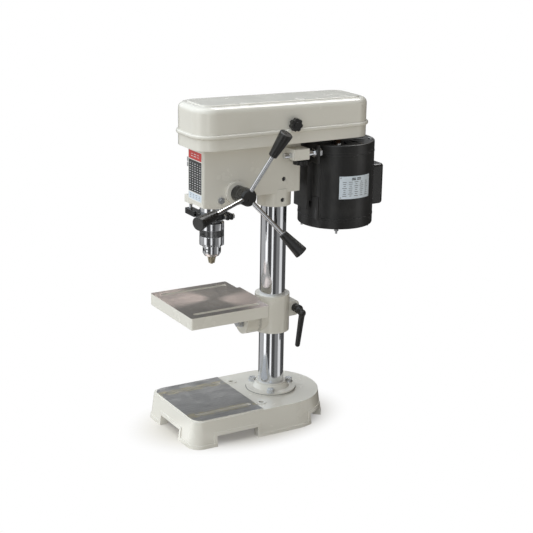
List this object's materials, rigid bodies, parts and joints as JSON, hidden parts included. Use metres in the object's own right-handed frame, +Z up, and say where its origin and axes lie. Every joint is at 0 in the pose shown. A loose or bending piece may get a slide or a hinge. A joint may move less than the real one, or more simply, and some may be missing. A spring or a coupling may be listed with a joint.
{
  "type": "bench drill press",
  "caption": "Belt-driven bench drill press: head and chuck on a round column, tilting slotted table, spoked feed handle and a slotted base.",
  "frame": {"origin": "the column's axis on the bench plane", "axes": "+Z up along the column, -Y to the front where the spindle is, +X to the side of the feed handles"},
  "size_m": [0.2259, 0.4413, 0.5888],
  "materials": {
    "painted_casting": "warm light grey enamel on cast iron and steel sheet",
    "ground_iron": "machined and ground iron",
    "polished_steel": "ground and polished steel",
    "zinc_steel": "zinc plated steel",
    "black_enamel": "black satin enamel on steel sheet",
    "black_plastic": "black moulded plastic",
    "dark_steel": "blackened steel",
    "copper_iron": "wound laminated iron",
    "cast_alloy": "die cast alloy",
    "belt_rubber": "fabric faced rubber",
    "red_plastic": "red moulded plastic",
    "green_plastic": "green moulded plastic"
  },
  "bodies": {
    "frame": {"base_casting": "painted_casting", "column_flange": "painted_casting", "flange_bolts": "zinc_steel", "column": "polished_steel", "head_casting": "painted_casting", "head_set_screws": "dark_steel", "quill_guide_screw": "zinc_steel", "belt_guard_pan": "painted_casting", "pan_hinges": "painted_casting", "switch_box": "black_plastic", "cord_gland": "black_plastic", "v_belt": "belt_rubber", "return_spring": "dark_steel", "spring_cap": "dark_steel", "pulley_bearings": "zinc_steel"},
    "stop_button": {"stop_button": "red_plastic"},
    "start_button": {"start_button": "green_plastic"},
    "feed": {"pinion_shaft": "zinc_steel", "feed_hub": "black_plastic", "feed_rod_1": "polished_steel", "feed_rod_2": "polished_steel", "feed_rod_3": "polished_steel", "feed_grip_1": "black_plastic", "feed_grip_2": "black_plastic", "feed_grip_3": "black_plastic", "spring_nuts": "zinc_steel"},
    "quill": {"quill": "polished_steel", "quill_bearings": "zinc_steel", "depth_bracket": "dark_steel", "depth_rod": "zinc_steel", "bracket_screw": "zinc_steel"},
    "depth_nuts": {"depth_nuts": "zinc_steel"},
    "spindle": {"spindle": "polished_steel", "chuck_body": "polished_steel"},
    "chuck_sleeve": {"chuck_sleeve": "polished_steel"},
    "chuck_jaw_1": {"chuck_jaw_1": "zinc_steel"},
    "chuck_jaw_2": {"chuck_jaw_2": "zinc_steel"},
    "chuck_jaw_3": {"chuck_jaw_3": "zinc_steel"},
    "spindle_pulley": {"spindle_pulley": "cast_alloy"},
    "motor": {"motor_plate": "black_enamel", "slide_bars": "polished_steel", "slide_bar_nuts": "zinc_steel", "motor_shell": "black_enamel", "motor_bottom_bell": "black_enamel", "motor_top_bell": "black_enamel", "motor_through_bolts": "zinc_steel", "capacitor_box": "black_plastic", "stator": "copper_iron", "motor_bearings": "zinc_steel"},
    "rotor": {"rotor": "copper_iron", "motor_pulley": "cast_alloy"},
    "slide_lock_left": {"slide_lock_knob_left": "black_plastic"},
    "slide_lock_right": {"slide_lock_knob_right": "black_plastic"},
    "table_bracket": {"table_bracket": "painted_casting", "tilt_bolt": "zinc_steel"},
    "table": {"table": "ground_iron"},
    "clamp_lever": {"clamp_lever": "black_plastic"},
    "guard_lid": {"belt_guard_lid": "painted_casting", "lid_hinges": "painted_casting"},
    "lid_knob": {"lid_knob": "black_plastic"}
  },
  "joints": [
    {"name": "quill_slide", "type": "slide", "parent": "frame", "child": "quill", "axis": [0, 0, -1], "range_m": [0, 0.05], "stiffness_N_per_m": 200, "springref_m": -0.2},
    {"name": "feed_turn", "type": "hinge", "parent": "frame", "child": "feed", "pos_m": [0, -0.093, 0.4335], "axis": [1, 0, 0], "range_deg": [0, 239]},
    {"name": "depth_nut_set", "type": "slide", "parent": "quill", "child": "depth_nuts", "axis": [0, 0, 1], "range_m": [-0.045, 0.012]},
    {"name": "motor_spin", "type": "hinge", "parent": "motor", "child": "rotor", "pos_m": [0, 0.13, 0.43], "axis": [0, 0, 1], "continuous": true},
    {"name": "spindle_pulley_spin", "type": "hinge", "parent": "frame", "child": "spindle_pulley", "pos_m": [0, -0.1245, 0.54], "axis": [0, 0, 1], "continuous": true},
    {"name": "spindle_spin", "type": "hinge", "parent": "quill", "child": "spindle", "pos_m": [0, -0.1245, 0.43], "axis": [0, 0, 1], "continuous": true},
    {"name": "chuck_sleeve_turn", "type": "hinge", "parent": "spindle", "child": "chuck_sleeve", "pos_m": [0, -0.1245, 0.35], "axis": [0, 0, 1], "range_deg": [0, 3600]},
    {"name": "chuck_jaw_1_slide", "type": "slide", "parent": "spindle", "child": "chuck_jaw_1", "axis": [0, 0.225, 0.9744], "range_m": [0, 0.022]},
    {"name": "chuck_jaw_2_slide", "type": "slide", "parent": "spindle", "child": "chuck_jaw_2", "axis": [-0.1948, -0.1125, 0.9744], "range_m": [0, 0.022]},
    {"name": "chuck_jaw_3_slide", "type": "slide", "parent": "spindle", "child": "chuck_jaw_3", "axis": [0.1948, -0.1125, 0.9744], "range_m": [0, 0.022]},
    {"name": "motor_tension", "type": "slide", "parent": "frame", "child": "motor", "axis": [0, 1, 0], "range_m": [-0.012, 0]},
    {"name": "slide_lock_left_turn", "type": "hinge", "parent": "frame", "child": "slide_lock_left", "pos_m": [-0.044, 0.0275, 0.48], "axis": [0, 0, 1], "range_deg": [0, 720]},
    {"name": "slide_lock_right_turn", "type": "hinge", "parent": "frame", "child": "slide_lock_right", "pos_m": [0.044, 0.0275, 0.48], "axis": [0, 0, 1], "range_deg": [0, 720]},
    {"name": "table_height", "type": "slide", "parent": "frame", "child": "table_bracket", "axis": [0, 0, -1], "range_m": [-0.02, 0.075]},
    {"name": "table_tilt", "type": "hinge", "parent": "table_bracket", "child": "table", "pos_m": [0, -0.055, 0.1875], "axis": [0, 1, 0], "range_deg": [-45, 45]},
    {"name": "clamp_lever_turn", "type": "hinge", "parent": "table_bracket", "child": "clamp_lever", "pos_m": [0.03, 0.037, 0.203], "axis": [1, 0, 0], "range_deg": [-35, 40]},
    {"name": "lid_open", "type": "hinge", "parent": "frame", "child": "guard_lid", "pos_m": [-0.0622, 0, 0.5375], "axis": [0, -1, 0], "range_deg": [0, 95]},
    {"name": "lid_knob_turn", "type": "hinge", "parent": "guard_lid", "child": "lid_knob", "pos_m": [0.056, 0.004, 0.5486], "axis": [1, 0, 0], "range_deg": [0, 720]},
    {"name": "stop_button_press", "type": "slide", "parent": "frame", "child": "stop_button", "axis": [1, 0, 0], "range_m": [0, 0.003], "stiffness_N_per_m": 800, "springref_m": -0.002},
    {"name": "start_button_press", "type": "slide", "parent": "frame", "child": "start_button", "axis": [1, 0, 0], "range_m": [0, 0.0012], "stiffness_N_per_m": 1500, "springref_m": -0.002}
  ],
  "couplings": [
    {"joint": "feed_turn", "follows": "quill_slide", "rad_per_m": 83.333},
    {"joint": "spindle_pulley_spin", "follows": "motor_spin", "ratio": 0.798},
    {"joint": "spindle_spin", "follows": "motor_spin", "ratio": 0.798},
    {"joint": "chuck_jaw_1_slide", "follows": "chuck_sleeve_turn", "m_per_rad": 0.00035014},
    {"joint": "chuck_jaw_2_slide", "follows": "chuck_sleeve_turn", "m_per_rad": 0.00035014},
    {"joint": "chuck_jaw_3_slide", "follows": "chuck_sleeve_turn", "m_per_rad": 0.00035014}
  ]
}
